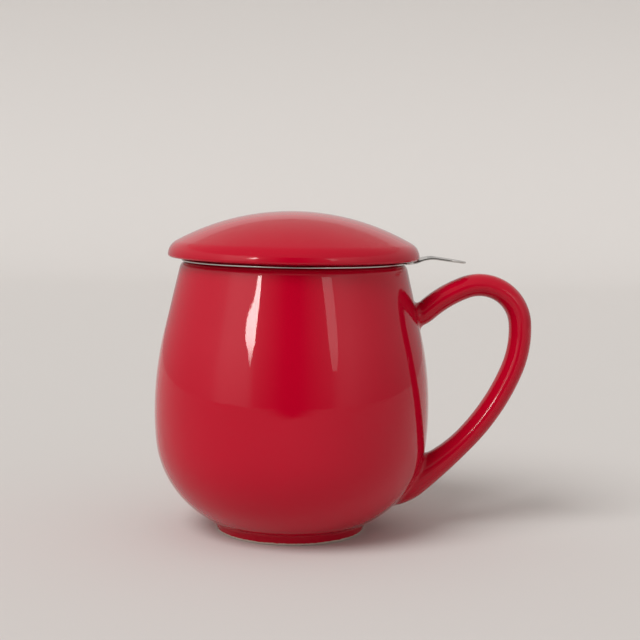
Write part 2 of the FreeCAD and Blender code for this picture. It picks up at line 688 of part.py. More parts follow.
columns = int(value("slot_columns"))
column_turn = 360.0 / columns
FIRST_ROW = ("((2 * %s + Sizes.hoop_height - Sizes.basket_depth - Sizes.collar_depth"
             " - Sizes.slot_row_step * (Sizes.slot_rows - 1)) / 2)" % SEAT_HEIGHT)
for half in range(2):
    start_turn = Rotation(Vector(0, 1, 0), value("lap_azimuth") + column_turn * (1 + half / 2))
    outside = start_turn.multVec(Vector(0, 0, wall_outer + value("slot_reach")))
    slot_sketch = sketch_on(wall_body, "YZ_Plane", "WallSlotOutline%d" % half,
                            Placement(outside, start_turn))
    row_height = FIRST_ROW + " + %d * Sizes.slot_row_step" % half
    rectangle(slot_sketch, "-Sizes.slot_width / 2", "Sizes.slot_width / 2",
              row_height + " - Sizes.slot_length / 2", row_height + " + Sizes.slot_length / 2")
    wall_slot = wall_body.newObject("PartDesign::Pocket", "WallSlot%d" % half)
    wall_slot.Profile = slot_sketch
    wall_slot.setExpression("Length", "Sizes.wall_sheet + 2 * Sizes.slot_reach")
    doc.recompute()
    slots = wall_body.newObject("PartDesign::MultiTransform", "WallSlots%d" % half)
    slots.Originals = [wall_slot]
    around = wall_body.newObject("PartDesign::PolarPattern", "WallSlotsAround%d" % half)
    around.Axis = (wall_sketch, ["V_Axis"])
    # the columns that would lie on the lapped seam are left out
    around.setExpression("Occurrences", "Sizes.slot_columns - %d" % (1 + half))
    around.setExpression("Angle", "360 * (Sizes.slot_columns - %d) / Sizes.slot_columns" % (2 + half))
    upward = wall_body.newObject("PartDesign::LinearPattern", "WallSlotsUp%d" % half)
    upward.Direction = (wall_sketch, ["V_Axis"])
    upward.setExpression("Occurrences", "round(Sizes.slot_rows / 2)")
    upward.setExpression("Length", "2 * Sizes.slot_row_step * (round(Sizes.slot_rows / 2) - 1)")
    slots.Transformations = [around, upward]
    wall_body.Tip = slots
    doc.recompute()


# Infuser base: dished disc with rings of radial slots, its edge turned up inside the wall

BASE_OUTER = WALL_OUTER + " - Sizes.wall_sheet"
BASE_LOW = BASKET_LOW + " + Sizes.hoop_sheet"
base = new_body("infuser_base")
dish_sketch = sketch_on(base, "XZ_Plane", "DishOutline")
rectangle(dish_sketch, "0", BASE_OUTER, BASE_LOW, BASE_LOW + " + Sizes.base_edge_height")
dish = turned(base, "Revolution", dish_sketch, "Dish")
base_outer = wall_outer - value("wall_sheet")
base_low = basket_low + value("hoop_sheet")
round_edges(base, "DishRound", dish, ring_edges(dish, base_outer, base_low), "Sizes.base_bend")
inside_sketch = sketch_on(base, "XZ_Plane", "DishInside")
rectangle(inside_sketch, "0", BASE_OUTER + " - Sizes.wall_sheet", BASE_LOW + " + Sizes.wall_sheet",
          BASE_LOW + " + Sizes.base_edge_height")
dish_hollow = turned(base, "Groove", inside_sketch, "DishHollow")
inside_edges = ring_edges(
    dish_hollow, base_outer - value("wall_sheet"), base_low + value("wall_sheet"))
round_edges(base, "DishInsideRound", dish_hollow, inside_edges, "Sizes.base_bend - Sizes.wall_sheet")
for ring in range(1, int(value("base_rings")) + 1):
    outline = sketch_on(base, "XY_Plane", "BaseSlotOutline%d" % ring)
    rectangle(outline, "%d * Sizes.base_ring_step - Sizes.base_slot_length / 2" % ring,
              "%d * Sizes.base_ring_step + Sizes.base_slot_length / 2" % ring,
              "-Sizes.slot_width / 2", "Sizes.slot_width / 2")
    base_slot = base.newObject("PartDesign::Pocket", "BaseSlot%d" % ring)
    base_slot.Profile = outline
    base_slot.setExpression("Length", BASE_LOW + " + Sizes.base_edge_height / 2")
    base_slot.Reversed = True
    doc.recompute()
    slots = base.newObject("PartDesign::PolarPattern", "BaseSlots%d" % ring)
    slots.Originals = [base_slot]
    slots.Axis = (outline, ["N_Axis"])
    slots.Angle = 360
    slots.setExpression("Occurrences", "%d * Sizes.base_ring_slots" % ring)
    base.Tip = slots
    doc.recompute()


# Infuser base hoop: band round the lower end of the wall with a lip under the base

hoop = new_body("infuser_base_hoop")
band_sketch = sketch_on(hoop, "XZ_Plane", "HoopBandOutline")
rectangle(band_sketch, WALL_OUTER, WALL_OUTER + " + Sizes.hoop_sheet",
          BASKET_LOW, BASKET_LOW + " + Sizes.hoop_height")
turned(hoop, "Revolution", band_sketch, "HoopBand")
lip_sketch = sketch_on(hoop, "XZ_Plane", "HoopLipOutline")
rectangle(lip_sketch, WALL_OUTER + " - Sizes.hoop_lip", WALL_OUTER + " + Sizes.hoop_sheet",
          BASKET_LOW, BASKET_LOW + " + Sizes.hoop_sheet")
turned(hoop, "Revolution", lip_sketch, "HoopLip")


# Check every object, then write one file for each piece

doc.recompute()
for item in doc.Objects:
    if "Invalid" in item.State or "Error" in item.State:
        raise RuntimeError("%s failed: %s" % (item.Name, item.State))

pieces = [cup, handle, lid, rim, collar, wall_body, base, hoop]
os.makedirs("parts", exist_ok=True)
for piece in pieces:
    shape = piece.Shape
    if shape.isNull() or not shape.isValid():
        raise RuntimeError("%s has no valid shape" % piece.Label)
    if len(shape.Solids) != 1:
        raise RuntimeError("%s is not one solid" % piece.Label)
    shape.exportStep("parts/%s.step" % piece.Label)
    print("%-18s volume %9.1f mm3" % (piece.Label, shape.Volume))
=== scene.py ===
import math

import bmesh
import bpy
from mathutils import Matrix, Vector


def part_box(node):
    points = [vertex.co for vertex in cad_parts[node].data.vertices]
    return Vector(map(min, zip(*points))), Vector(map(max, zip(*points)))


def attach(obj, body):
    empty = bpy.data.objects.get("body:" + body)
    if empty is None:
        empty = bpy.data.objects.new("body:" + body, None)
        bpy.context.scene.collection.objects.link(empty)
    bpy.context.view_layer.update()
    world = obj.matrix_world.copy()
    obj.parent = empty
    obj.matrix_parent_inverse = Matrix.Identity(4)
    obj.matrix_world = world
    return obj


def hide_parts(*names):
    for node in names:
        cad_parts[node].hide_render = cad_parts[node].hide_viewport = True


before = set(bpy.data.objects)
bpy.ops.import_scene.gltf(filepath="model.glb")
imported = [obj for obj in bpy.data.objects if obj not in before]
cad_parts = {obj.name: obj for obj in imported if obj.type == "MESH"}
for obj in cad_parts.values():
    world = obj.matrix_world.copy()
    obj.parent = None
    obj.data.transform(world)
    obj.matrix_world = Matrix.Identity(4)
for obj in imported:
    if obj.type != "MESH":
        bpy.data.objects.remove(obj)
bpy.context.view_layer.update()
print("frame loaded")

scene = bpy.context.scene
scene.view_settings.view_transform = "Standard"
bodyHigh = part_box("mug_body")[1]
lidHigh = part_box("lid")[1]
collarLow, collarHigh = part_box("infuser_collar")
wallLow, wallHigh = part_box("infuser_wall")
baseLow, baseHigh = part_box("infuser_base")
hoopLow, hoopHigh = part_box("infuser_base_hoop")
weldGap = 0.000002  # points closer than this become one
sharpAngle = math.radians(40)  # edges of sheet steel stay crisp above this

# camera: just under half a metre in front of the mug and a little above its lid
cameraSet = {
    "distance": 0.4503, "height": 0.1158, "pan": 1.145, "pitch": 5.727, "roll": -0.963, "lens": 76.17,
    "sensor": 36, "nearest": 0.01}

cameraData = bpy.data.cameras.new("frontCamera")
cameraData.lens = cameraSet["lens"]
cameraData.sensor_width = cameraSet["sensor"]
cameraData.clip_start = cameraSet["nearest"]
camera = bpy.data.objects.new("frontCamera", cameraData)
scene.collection.objects.link(camera)
camera.matrix_world = (
    Matrix.Translation((0, -cameraSet["distance"], cameraSet["height"]))
    @ Matrix.Rotation(-math.radians(cameraSet["pan"]), 4, "Z")
    @ Matrix.Rotation(math.radians(90 - cameraSet["pitch"]), 4, "X")
    @ Matrix.Rotation(-math.radians(cameraSet["roll"]), 4, "Z"))
scene.camera = camera
print("camera placed")


# small helpers for node trees, used by the shapes and by the materials
def feed(tree, socket, source):
    if isinstance(source, bpy.types.NodeSocket):
        tree.links.new(source, socket)
    else:
        socket.default_value = source


def addNode(tree, kind, settings=None, **inputs):
    made = tree.nodes.new(kind)
    for name, setting in (settings or {}).items():
        setattr(made, name, setting)
    for name, source in inputs.items():
        feed(tree, made.inputs[name.replace("_", " ")], source)
    return made


def calc(tree, operation, first, second=None):
    made = addNode(tree, "ShaderNodeMath", {"operation": operation})
    feed(tree, made.inputs[0], first)
    if second is not None:
        feed(tree, made.inputs[1], second)
    return made.outputs[0]


# the row and the column of a point in a grid that counts along its rows
def rowAndColumn(tree, across):
    index = addNode(tree, "GeometryNodeInputIndex").outputs[0]
    row = calc(tree, "FLOOR", calc(tree, "DIVIDE", index, across))
    return row, calc(tree, "SUBTRACT", index, calc(tree, "MULTIPLY", row, across))


def distanceFromAxis(tree, parts):
    return calc(tree, "SQRT", calc(tree, "ADD", calc(tree, "MULTIPLY", parts["X"], parts["X"]),
                                   calc(tree, "MULTIPLY", parts["Y"], parts["Y"])))


def startTree(name, labels):
    tree = bpy.data.node_groups.new(name, "GeometryNodeTree")
    tree.interface.new_socket("Geometry", in_out="INPUT", socket_type="NodeSocketGeometry")
    for label, kind in labels.items():
        tree.interface.new_socket(label, in_out="INPUT", socket_type="NodeSocket" + kind)
    tree.interface.new_socket("Geometry", in_out="OUTPUT", socket_type="NodeSocketGeometry")
    given = tree.nodes.new("NodeGroupInput").outputs
    return tree, given


def endTree(tree, given, geometry):
    real = addNode(tree, "GeometryNodeRealizeInstances", Geometry=geometry)
    painted = addNode(tree, "GeometryNodeSetMaterial", Geometry=real.outputs[0], Material=given["Material"])
    tree.links.new(painted.outputs[0], tree.nodes.new("NodeGroupOutput").inputs[0])


# runs a tree on an object and leaves a plain mesh
def applyTree(piece, tree, values):
    modifier = piece.modifiers.new(tree.name, "NODES")
    modifier.node_group = tree
    for item in tree.interface.items_tree:
        if item.in_out == "INPUT" and item.name in values:
            modifier[item.identifier] = values[item.name]
    bakeModifiers(piece)


def bakeModifiers(piece):
    graph = bpy.context.evaluated_depsgraph_get()
    mesh = bpy.data.meshes.new_from_object(piece.evaluated_get(graph), depsgraph=graph)
    piece.modifiers.clear()
    mesh.name = piece.name
    piece.data = mesh


def newPiece(name, points, edges=(), faces=()):
    mesh = bpy.data.meshes.new(name)
    mesh.from_pydata(points, edges, faces)
    piece = bpy.data.objects.new(name, mesh)
    scene.collection.objects.link(piece)
    return piece


# every turned piece: an outline of (radius, height) points spun about the mug's axis
def buildTurnTree():
    tree, given = startTree("turnOutline", {"Steps Around": "Int", "Material": "Material"})
    count = addNode(tree, "GeometryNodeAttributeDomainSize", Geometry=given["Geometry"]).outputs["Point Count"]
    across = calc(tree, "ADD", given["Steps Around"], 1.0)
    grid = addNode(tree, "GeometryNodeMeshGrid", Vertices_X=count, Vertices_Y=across)
    row, column = rowAndColumn(tree, across)
    angle = calc(tree, "DIVIDE", calc(tree, "MULTIPLY", column, math.tau), given["Steps Around"])
    position = addNode(tree, "GeometryNodeInputPosition").outputs[0]
    outline = addNode(tree, "GeometryNodeSampleIndex", {"data_type": "FLOAT_VECTOR"},
                      Geometry=given["Geometry"])
    tree.links.new(position, outline.inputs["Value"])
    tree.links.new(row, outline.inputs["Index"])
    parts = addNode(tree, "ShaderNodeSeparateXYZ", Vector=outline.outputs[0]).outputs
    place = addNode(tree, "ShaderNodeCombineXYZ", Z=parts["Z"],
                    X=calc(tree, "MULTIPLY", parts["X"], calc(tree, "COSINE", angle)),
                    Y=calc(tree, "MULTIPLY", parts["X"], calc(tree, "SINE", angle)))
    spun = addNode(tree, "GeometryNodeSetPosition", Geometry=grid.outputs[0], Position=place.outputs[0])
    closed = addNode(tree, "GeometryNodeMergeByDistance", Geometry=spun.outputs[0], Distance=weldGap)
    smooth = addNode(tree, "GeometryNodeSetShadeSmooth", Geometry=closed.outputs[0])
    endTree(tree, given, smooth.outputs[0])
    return tree


turnTree = buildTurnTree()


def turnedPiece(name, outline, steps, material):
    points = [(radius, 0, height) for radius, height in outline]
    piece = newPiece(name, points, [(i, i + 1) for i in range(len(points) - 1)])
    applyTree(piece, turnTree, {"Steps Around": steps, "Material": material})
    faceOutwards(piece)
    return piece


def faceOutwards(piece, weld=False):
    shell = bmesh.new()
    shell.from_mesh(piece.data)
    if weld:
        bmesh.ops.remove_doubles(shell, verts=shell.verts, dist=weldGap)
    bmesh.ops.dissolve_degenerate(shell, dist=weldGap / 2, edges=shell.edges)
    bmesh.ops.recalc_face_normals(shell, faces=shell.faces)
    shell.to_mesh(piece.data)
    shell.free()


# points of a round stretch, from the start of an arc to its end, the short way about its centre
def arcPoints(centre, start, end, step):
    first = math.atan2(start[1] - centre[1], start[0] - centre[0])
    last = math.atan2(end[1] - centre[1], end[0] - centre[0])
    sweep = (last - first + math.pi) % math.tau - math.pi
    radius = math.dist(centre, start)
    count = max(2, math.ceil(abs(sweep) * radius / step))
    return [(centre[0] + radius * math.cos(first + sweep * i / count),
             centre[1] + radius * math.sin(first + sweep * i / count)) for i in range(count + 1)]


def straightPoints(start, end, step):
    count = max(1, math.ceil(math.dist(start, end) / step))
    return [(start[0] + (end[0] - start[0]) * i / count,
             start[1] + (end[1] - start[1]) * i / count) for i in range(count + 1)]


def between(start, end, share):
    return (start[0] + (end[0] - start[0]) * share, start[1] + (end[1] - start[1]) * share)


# joins stretches of an outline; a corner named in rounds gets a curve of that reach
def joinOutline(stretches, rounds=(), step=0.0012):
    outline = []
    for stretch in stretches:
        outline += stretch if not outline else stretch[1:]
    for corner, reach in rounds:
        outline = roundCorner(outline, corner, reach)
    return outline


def roundCorner(outline, corner, reach, pieces=8):
    middle = min(range(len(outline)), key=lambda i: math.dist(outline[i], corner))
    before = walkAway(outline, middle, -1, reach)
    after = walkAway(outline, middle, 1, reach)
    curve = []
    for i in range(pieces + 1):
        share = i / pieces
        curve.append(between(between(before[1], corner, share), between(corner, after[1], share), share))
    return outline[:before[0] + 1] + curve + outline[after[0]:]


# the last point kept before a distance along the outline is used up, and the place where it is
def walkAway(outline, index, way, distance):
    while 0 <= index + way < len(outline):
        gap = math.dist(outline[index], outline[index + way])
        if gap > distance:
            return index + way, between(outline[index], outline[index + way], distance / gap)
        distance -= gap
        index += way
    return index, outline[index]


def alongRay(centre, through, distance):
    return between(centre, through, distance / math.dist(centre, through))


# skins a run of rings with equal point counts
def skinnedPiece(name, rings, material, capEnds=True):
    size = len(rings[0])
    points = [point for ring in rings for point in ring]
    faces = []
    for row in range(len(rings) - 1):
        for i in range(size):
            j = (i + 1) % size
            faces.append((row * size + i, row * size + j, (row + 1) * size + j, (row + 1) * size + i))
    if capEnds:
        faces.append(tuple(range(size)))
        faces.append(tuple(range((len(rings) - 1) * size, len(rings) * size)))
    piece = newPiece(name, points, (), faces)
    faceOutwards(piece, weld=True)
    piece.data.shade_smooth()
    piece.data.materials.append(material)
    return piece


# materials
def startMaterial(name):
    material = bpy.data.materials.new(name)
    material.use_nodes = True
    return material, material.node_tree, material.node_tree.nodes["Principled BSDF"]


def noise(tree, place, size, detail):
    return addNode(tree, "ShaderNodeTexNoise", Vector=place, Scale=size, Detail=detail).outputs["Fac"]


# a value between start and end becomes one between low and high
def mapRange(tree, value, start, end, low=0.0, high=1.0, smooth=False):
    settings = {"interpolation_type": "SMOOTHSTEP" if smooth else "LINEAR"}
    return addNode(tree, "ShaderNodeMapRange", settings, Value=value, From_Min=start, From_Max=end,
                   To_Min=low, To_Max=high).outputs[0]


def mixColours(tree, share, first, second):
    mixed = addNode(tree, "ShaderNodeMix", {"data_type": "RGBA"})
    feed(tree, mixed.inputs["Factor"], share)
    feed(tree, mixed.inputs[6], first)
    feed(tree, mixed.inputs[7], second)
    return mixed.outputs[2]


glazeLook = {
    "deep": (0.46, 0.0007, 0.017, 1), "bright": (0.54, 0.0016, 0.022, 1), "clay": (0.62, 0.55, 0.47, 1),
    "ior": 1.35, "roughness": 0.03, "clayRoughness": 0.7, "cloudSize": 22.0, "rippleSize": 130.0,
    "rippleHeight": 0.00003, "grainSize": 900.0, "edgeWander": 0.0006, "edgeStart": 0.0003, "edgeBlur": 0.00015}


# red glaze over pale clay: thin clouds of colour, a faint ripple, bare clay below a height
def redGlaze(name, bareBelow=None, look=glazeLook):
    material, tree, shader = startMaterial(name)
    place = addNode(tree, "ShaderNodeTexCoord").outputs["Object"]
    cloud = noise(tree, place, look["cloudSize"], 2.0)
    paint = mixColours(tree, cloud, look["deep"], look["bright"])
    rough = mapRange(tree, cloud, 0.0, 1.0, look["roughness"] * 0.8, look["roughness"] * 1.3)
    if bareBelow is not None:
        grain = noise(tree, place, look["grainSize"], 4.0)
        height = addNode(tree, "ShaderNodeSeparateXYZ", Vector=place).outputs["Z"]
        wavy = calc(tree, "ADD", height, calc(tree, "MULTIPLY", grain, look["edgeWander"]))
        start = bareBelow + look["edgeStart"]
        bare = mapRange(tree, wavy, start, start + look["edgeBlur"], 1.0, 0.0)
        paint = mixColours(tree, bare, paint, look["clay"])
        rough = calc(tree, "ADD", rough, calc(tree, "MULTIPLY", bare, look["clayRoughness"]))
    feed(tree, shader.inputs["Base Color"], paint)
    feed(tree, shader.inputs["Roughness"], rough)
    shader.inputs["IOR"].default_value = look["ior"]
    bump = addNode(tree, "ShaderNodeBump", Height=noise(tree, place, look["rippleSize"], 3.0),
                   Distance=look["rippleHeight"], Strength=0.5)
    feed(tree, shader.inputs["Normal"], bump.outputs[0])
    return material


steelLook = {
    "colour": (0.60, 0.575, 0.55, 1), "worn": (0.50, 0.475, 0.45, 1), "roughness": 0.2, "lineSize": 2500.0,
    "lineHeight": 0.000004, "ringStretch": 0.0006, "tabStretch": 0.03, "smudgeSize": 60.0}


# spun steel: fine rings about the mug's axis, or lengthwise lines on the tab
def brushedSteel(name, turned=True, look=steelLook):
    material, tree, shader = startMaterial(name)
    place = addNode(tree, "ShaderNodeTexCoord").outputs["Object"]
    parts = addNode(tree, "ShaderNodeSeparateXYZ", Vector=place).outputs
    if turned:
        radius = distanceFromAxis(tree, parts)
        turn = calc(tree, "ARCTAN2", parts["Y"], parts["X"])
        lines = addNode(tree, "ShaderNodeCombineXYZ", X=radius, Z=parts["Z"],
                        Y=calc(tree, "MULTIPLY", turn, look["ringStretch"]))
    else:
        lines = addNode(tree, "ShaderNodeCombineXYZ", Y=parts["Y"],
                        X=calc(tree, "MULTIPLY", parts["X"], look["tabStretch"]))
    brush = noise(tree, lines.outputs[0], look["lineSize"], 2.0)
    smudge = noise(tree, place, look["smudgeSize"], 3.0)
    feed(tree, shader.inputs["Base Color"], mixColours(tree, brush, look["colour"], look["worn"]))
    feed(tree, shader.inputs["Roughness"], mapRange(
        tree, smudge, 0.0, 1.0, look["roughness"] * 0.7, look["roughness"] * 1.5))
    shader.inputs["Metallic"].default_value = 1.0
    bump = addNode(tree, "ShaderNodeBump", Height=brush, Distance=look["lineHeight"], Strength=0.6)
    feed(tree, shader.inputs["Normal"], bump.outputs[0])
    return material


spunSteel = brushedSteel("spunSteel")
tabSteel = brushedSteel("tabSteel", turned=False)
print("materials ready")


# cup: two belly arcs, a tight shoulder down to the foot, and a straight neck
cupSet = {
    "bellyHeight": 0.0406, "neckHeight": 0.0231, "lowerArc": 0.105, "shoulderArc": 0.0333,
    "mouthRadius": 0.0373, "wall": 0.004, "lipWidth": 0.0041, "lipRound": 0.0022,
    "floorHeight": 0.0065, "hollowCorner": 0.026, "footRadius": 0.0246, "creaseRadius": 0.0257,
    "creaseHeight": 0.0034, "creaseRound": 0.0009, "footRingWidth": 0.0034, "recess": 0.0015,
    "footRound": 0.0006, "bareEdge": 0.0007, "stepsAround": 208, "step": 0.0014}

cupTop = bodyHigh.z
belly = (bodyHigh.y, cupSet["bellyHeight"])


def meetCircles(centreA, radiusA, centreB, radiusB, side):
    gap = math.dist(centreA, centreB)
    along = (gap ** 2 + radiusA ** 2 - radiusB ** 2) / (2 * gap)
    across = side * math.sqrt(radiusA ** 2 - along ** 2)
    ux, uy = (centreB[0] - centreA[0]) / gap, (centreB[1] - centreA[1]) / gap
    return (centreA[0] + along * ux - across * uy, centreA[1] + along * uy + across * ux)


# centre of the arc above a belly point, and where the straight neck touches it
def neckTouch(bellyPoint, mouthPoint):
    inward = bellyPoint[0] - mouthPoint[0]
    curved = mouthPoint[1] - cupSet["neckHeight"] - bellyPoint[1]
    low, high = 0.0, math.pi / 4
    for halving in range(50):
        lean = (low + high) / 2
        if curved * math.tan(lean / 2) + cupSet["neckHeight"] * math.tan(lean) < inward:
            low = lean
        else:
            high = lean
    start = (mouthPoint[0] + cupSet["neckHeight"] * math.tan(lean), mouthPoint[1] - cupSet["neckHeight"])
    return (bellyPoint[0] - curved / math.sin(lean), bellyPoint[1]), start


lowerCentre = (belly[0] - cupSet["lowerArc"], belly[1])
crease = (cupSet["creaseRadius"], cupSet["creaseHeight"])
shoulderCentre = meetCircles(lowerCentre, cupSet["lowerArc"] - cupSet["shoulderArc"], crease,
                             cupSet["shoulderArc"], 1)
shoulderTop = alongRay(lowerCentre, shoulderCentre, cupSet["lowerArc"])
mouth = (cupSet["mouthRadius"], cupTop)
upperCentre, neckStart = neckTouch(belly, mouth)


def outerRadius(height):
    if height > neckStart[1]:
        return between(neckStart, mouth, (height - neckStart[1]) / cupSet["neckHeight"])[0]
    if height > belly[1]:
        centre, radius = upperCentre, belly[0] - upperCentre[0]
    elif height > shoulderTop[1]:
        centre, radius = lowerCentre, cupSet["lowerArc"]
    else:
        centre, radius = shoulderCentre, cupSet["shoulderArc"]
    return centre[0] + math.sqrt(max(0.0, radius ** 2 - (height - centre[1]) ** 2))


def cupOutline():
    step = cupSet["step"]
    ringInside = cupSet["footRadius"] - cupSet["footRingWidth"]
    foot = (cupSet["footRadius"], 0)
    innerLower = cupSet["lowerArc"] - cupSet["wall"]
    cornerHeight = cupSet["floorHeight"] + cupSet["hollowCorner"]
    reach = math.sqrt((innerLower - cupSet["hollowCorner"]) ** 2 - (cornerHeight - belly[1]) ** 2)
    cornerCentre = (lowerCentre[0] + reach, cornerHeight)
    cornerTop = alongRay(lowerCentre, cornerCentre, innerLower)
    innerBelly = (belly[0] - cupSet["wall"], belly[1])
    innerMouth = (mouth[0] - cupSet["lipWidth"], cupTop)
    innerCentre, innerNeck = neckTouch(innerBelly, innerMouth)
    floorEdge = (cornerCentre[0], cupSet["floorHeight"])
    return joinOutline([
        straightPoints((0, cupSet["recess"]), (ringInside, cupSet["recess"]), step * 2),
        straightPoints((ringInside, cupSet["recess"]), (ringInside, 0), step),
        straightPoints((ringInside, 0), foot, step),
        straightPoints(foot, crease, step / 2),
        arcPoints(shoulderCentre, crease, shoulderTop, step),
        arcPoints(lowerCentre, shoulderTop, belly, step),
        arcPoints(upperCentre, belly, neckStart, step),
        straightPoints(neckStart, mouth, step),
        straightPoints(mouth, innerMouth, step),
        straightPoints(innerMouth, innerNeck, step),
        arcPoints(innerCentre, innerNeck, innerBelly, step),
        arcPoints(lowerCentre, innerBelly, cornerTop, step),
        arcPoints(cornerCentre, cornerTop, floorEdge, step),
        straightPoints(floorEdge, (0, cupSet["floorHeight"]), step * 2),
    ], [((ringInside, cupSet["recess"]), cupSet["footRound"]), ((ringInside, 0), cupSet["footRound"]),
        (foot, cupSet["footRound"]), (crease, cupSet["creaseRound"]),
        (mouth, cupSet["lipRound"]), (innerMouth, cupSet["lipRound"] * 0.8)])


cupGlaze = redGlaze("cupGlaze", cupSet["bareEdge"])
cupBody = turnedPiece("cupBody", cupOutline(), cupSet["stepsAround"], cupGlaze)
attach(cupBody, "cup")
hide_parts("mug_body")
print("cup turned")


# handle: an oval section that follows a half-heart, with a soft luted joint at both ends
handleSet = {
    "drop": 0.0175, "rootAngle": 22, "neckRun": 0.0041, "riseAngle": 42, "riseArc": 0.040, "riseTurn": 21,
    "crownArc": 0.0138, "crownTurn": 106, "backArc": 0.0347, "tailArc": 0.075, "footHeight": 0.0174,
    "thickness": 0.0075, "extraWidth": 0.0032, "footThickness": 0.016, "flareRun": 0.030,
    "rootDepth": 0.006, "footDepth": 0.008, "footAngle": 184, "rootJoint": 0.0022, "footJoint": 0.0030,
    "jointSink": 0.00006, "pointsRound": 72, "step": 0.0009}


def stepAlong(point, angle, distance):
    turn = math.radians(angle)
    return (point[0] + distance * math.cos(turn), point[1] + distance * math.sin(turn))


# stations of an arc that turns by an angle, clockwise where the turn is positive
def bendAlong(point, angle, radius, turn):
    side = 1 if turn > 0 else -1
    centre = stepAlong(point, angle - 90 * side, radius)
    count = max(2, math.ceil(math.radians(abs(turn)) * radius / handleSet["step"]))
    stations = []
    for i in range(1, count + 1):
        heading = angle - turn * i / count
        stations.append((stepAlong(centre, heading + 90 * side, radius), heading))
    return stations


def handleStations():
    rootHeight = cupTop - handleSet["drop"]
    root = (outerRadius(rootHeight), rootHeight)
    stations = [(stepAlong(root, handleSet["rootAngle"], -handleSet["rootDepth"] * (1 - i / 6)),
                 handleSet["rootAngle"]) for i in range(7)]
    neckTurn = handleSet["riseAngle"] - handleSet["rootAngle"]
    neckArc = handleSet["neckRun"] / math.radians(neckTurn)
    stations += bendAlong(root, handleSet["rootAngle"], neckArc, -neckTurn)
    stations += bendAlong(*stations[-1], handleSet["riseArc"], handleSet["riseTurn"])
    stations += bendAlong(*stations[-1], handleSet["crownArc"], handleSet["crownTurn"])
    crownEnd, heading = stations[-1]
    foot = (outerRadius(handleSet["footHeight"]), handleSet["footHeight"])
    backCentre = stepAlong(crownEnd, heading - 90, handleSet["backArc"])
    tailCentre = meetCircles(backCentre, handleSet["tailArc"] - handleSet["backArc"], foot,
                             handleSet["tailArc"], -1)
    bend = math.degrees(math.atan2(backCentre[1] - tailCentre[1], backCentre[0] - tailCentre[0])) - 90
    arrival = math.degrees(math.atan2(foot[1] - tailCentre[1], foot[0] - tailCentre[0])) - 90
    stations += bendAlong(crownEnd, heading, handleSet["backArc"], heading - bend)
    stations += bendAlong(*stations[-1], handleSet["tailArc"], bend - arrival)
    footTurn = arrival + handleSet["footAngle"]
    stations += bendAlong(*stations[-1], handleSet["footDepth"] / math.radians(footTurn), footTurn)
    return stations


def handleRings():
    stations = handleStations()
    rings = []
    for point, heading in stations:
        run = math.dist(point, stations[-1][0])
        share = max(0.0, 1 - run / handleSet["flareRun"]) ** 2
        thickness = handleSet["thickness"] + share * (handleSet["footThickness"] - handleSet["thickness"])
        tilt = math.radians(heading + 90)
        ring = []
        for i in range(handleSet["pointsRound"]):
            turn = math.tau * i / handleSet["pointsRound"]
            lift = math.cos(turn) * thickness / 2
            side = math.sin(turn) * (thickness + handleSet["extraWidth"]) / 2
            ring.append(Vector((point[0] + lift * math.cos(tilt), side, point[1] + lift * math.sin(tilt))))
        rings.append(ring)
    return rings


def depthInCup(point):
    return outerRadius(point.z) - math.hypot(point.x, point.y)


# ends a run of rings on the cup with a curve that leaves the handle and lies down on the glaze
def luteEnd(rings, joint):
    runs = list(zip(*rings))
    crossings = []
    for run in runs:
        place = next((i for i in range(1, len(run)) if depthInCup(run[i]) > 0), len(run) - 1)
        before, after = depthInCup(run[place - 1]), depthInCup(run[place])
        share = before / (before - after) if before < 0 < after else 1.0
        crossings.append((place, run[place - 1].lerp(run[place], share)))
    middle = sum((point for place, point in crossings), Vector()) / len(crossings)
    kept = [list(run) for run in runs]
    curves = []
    for run, (place, hit) in zip(kept, crossings):
        left = joint
        back = place - 1
        here = hit
        while back > 0 and (here - run[back]).length < left:
            left -= (here - run[back]).length
            here = run[back]
            back -= 1
        start = here.lerp(run[back], left / max(1e-9, (here - run[back]).length))
        for i in range(back + 1, len(run)):
            run[i] = start
        outward = hit - middle
        normal = Vector((hit.x, hit.y, 0)).normalized()
        outward = (outward - normal * outward.dot(normal)).normalized()
        end = hit + outward * joint
        radius = outerRadius(end.z) - handleSet["jointSink"]
        flat = Vector((end.x, end.y, 0)).normalized() * radius
        end = Vector((flat.x, flat.y, end.z))
        curves.append([start.lerp(hit, i / 10).lerp(hit.lerp(end, i / 10), i / 10) for i in range(1, 11)])
    body = [list(ring) for ring in zip(*kept)]
    return body + [list(ring) for ring in zip(*curves)]


def buildHandle():
    rings = handleRings()
    middle = len(rings) // 2
    upper = luteEnd(rings[middle::-1], handleSet["rootJoint"])
    lower = luteEnd(rings[middle:], handleSet["footJoint"])
    return upper[::-1] + lower[1:]


handleGlaze = redGlaze("handleGlaze")
cupHandle = skinnedPiece("cupHandle", buildHandle(), handleGlaze, capEnds=False)
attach(cupHandle, "cup")
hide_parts("mug_handle")
print("handle swept and luted")


steelSet = {
    "rimSheet": 0.0006, "collarSheet": 0.0005, "wallSheet": 0.0004, "hoopSheet": 0.0005, "hoopLip": 0.0025,
    "skirtDepth": 0.0035, "flangeInset": 0.0001, "flangeRound": 0.0003, "edgeRound": 0.00022, "lapIn": 0.0001,
    "stepsAround": 192, "step": 0.002}


# lid: shallow dome, rounded edge, seat on the steel flange, and a ring that drops into the basket
lidSet = {
    "radius": 0.0417, "topGap": 0.000001, "edgeHeight": 0.0015, "edgeArc": 0.0052, "edgeGap": 0.0008,
    "brimRun": 0.0040, "brimRound": 0.0006, "wall": 0.004, "seatRadius": 0.0360, "seatRound": 0.0003,
    "ringDepth": 0.006, "ringWidth": 0.0032, "ringGap": 0.0006, "ringRound": 0.0014, "rootRound": 0.0006,
    "ceilingRound": 0.0018, "bareEdge": 0.0006, "stepsAround": 208, "step": 0.0012}

seat = collarHigh.z


